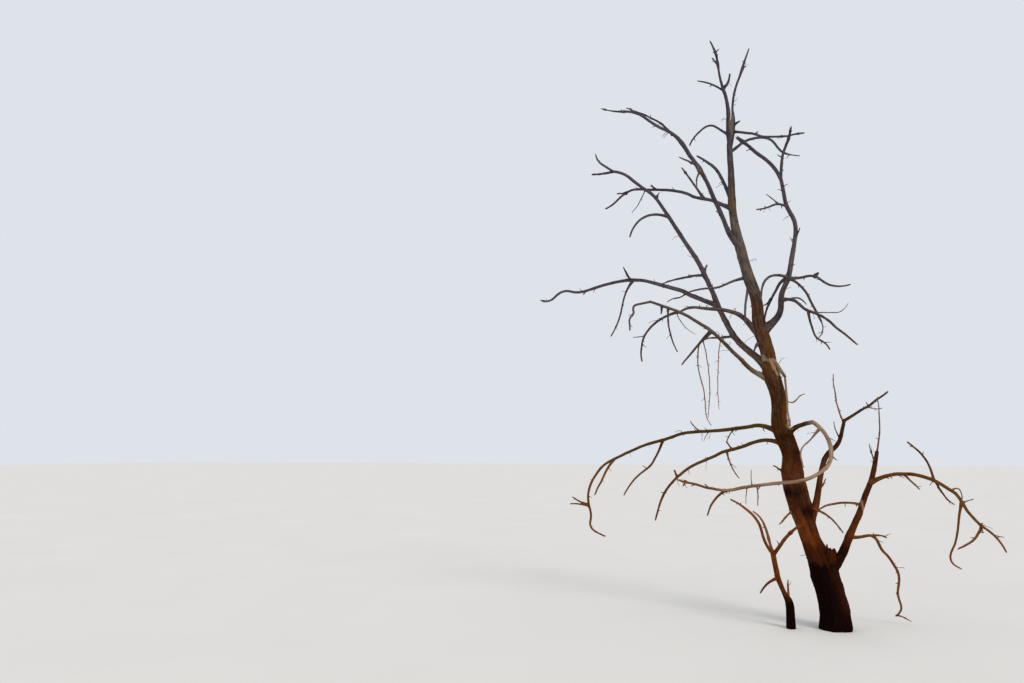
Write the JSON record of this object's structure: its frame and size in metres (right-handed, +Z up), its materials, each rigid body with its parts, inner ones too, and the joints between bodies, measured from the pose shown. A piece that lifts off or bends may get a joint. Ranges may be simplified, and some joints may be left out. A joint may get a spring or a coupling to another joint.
{
  "type": "dead tree",
  "caption": "Bare dead tree with a leaning tapered trunk, thin forked leaders, crooked drooping boughs with broken tips, and a small shoot beside its foot",
  "frame": {"origin": "centre of the trunk's flat cut at ground level", "axes": "+Z up; +Y level, away from the picture's viewpoint; +X to its right"},
  "size_m": [4.1807, 2.8382, 5.5304],
  "materials": {
    "warm_bark": "dry rough bark, dark red-brown low down and tan higher up",
    "grey_bark": "dry grey-brown bark of the boughs and arms",
    "dark_bark": "near-black stained bark of the shoot at the foot",
    "bare_wood": "pale weathered wood where the bark is gone"
  },
  "bodies": {
    "root": {"trunk": "warm_bark", "leader_left": "grey_bark", "leader_left_tip": "grey_bark", "leader_left_arm": "grey_bark", "leader_right": "grey_bark", "crown_arch_left": "grey_bark", "crown_arm_right": "grey_bark", "crown_bough_right": "grey_bark", "right_limb": "grey_bark", "right_limb_tip": "grey_bark", "right_limb_return": "grey_bark", "right_twig_left": "grey_bark", "right_hook": "grey_bark", "right_arm_outer": "grey_bark", "right_arch_inner": "grey_bark", "right_droop_inner": "grey_bark", "right_bough_low": "grey_bark", "right_bough_low_fork": "grey_bark", "left_crown_bough": "grey_bark", "left_crown_inner": "grey_bark", "left_upper_bough": "grey_bark", "left_upper_twig": "grey_bark", "left_long_bough": "grey_bark", "left_long_tip_up": "grey_bark", "left_long_droop": "grey_bark", "left_far_bough": "grey_bark", "left_far_droop": "grey_bark", "left_mid_arm": "grey_bark", "trunk_droop_mid": "grey_bark", "left_knee_bough": "grey_bark", "left_low_bough": "grey_bark", "left_low_bough_tip": "grey_bark", "left_low_droop": "grey_bark", "left_low_hanger": "grey_bark", "left_middle_bough": "grey_bark", "left_middle_droop": "grey_bark", "left_middle_fork": "grey_bark", "left_middle_hanger": "grey_bark", "left_drooping_bough": "grey_bark", "curl_rise": "warm_bark", "curl_bend": "bare_wood", "curl_return": "bare_wood", "curl_tip": "grey_bark", "curl_tip_droop": "grey_bark", "curl_fork": "grey_bark", "side_stem": "warm_bark", "side_stem_arm": "grey_bark", "right_low_bough": "warm_bark", "right_low_arm": "grey_bark", "right_low_arm_hook": "grey_bark", "right_low_arm_hanger": "grey_bark", "right_low_arm_spray": "grey_bark", "right_low_twig_left": "grey_bark", "right_foot_arm": "grey_bark", "base_shoot": "dark_bark", "base_shoot_fork_left": "dark_bark", "base_shoot_fork_right": "dark_bark", "base_shoot_arm": "dark_bark", "crotch_stub": "warm_bark", "trunk_stub": "grey_bark"}
  },
  "joints": []
}
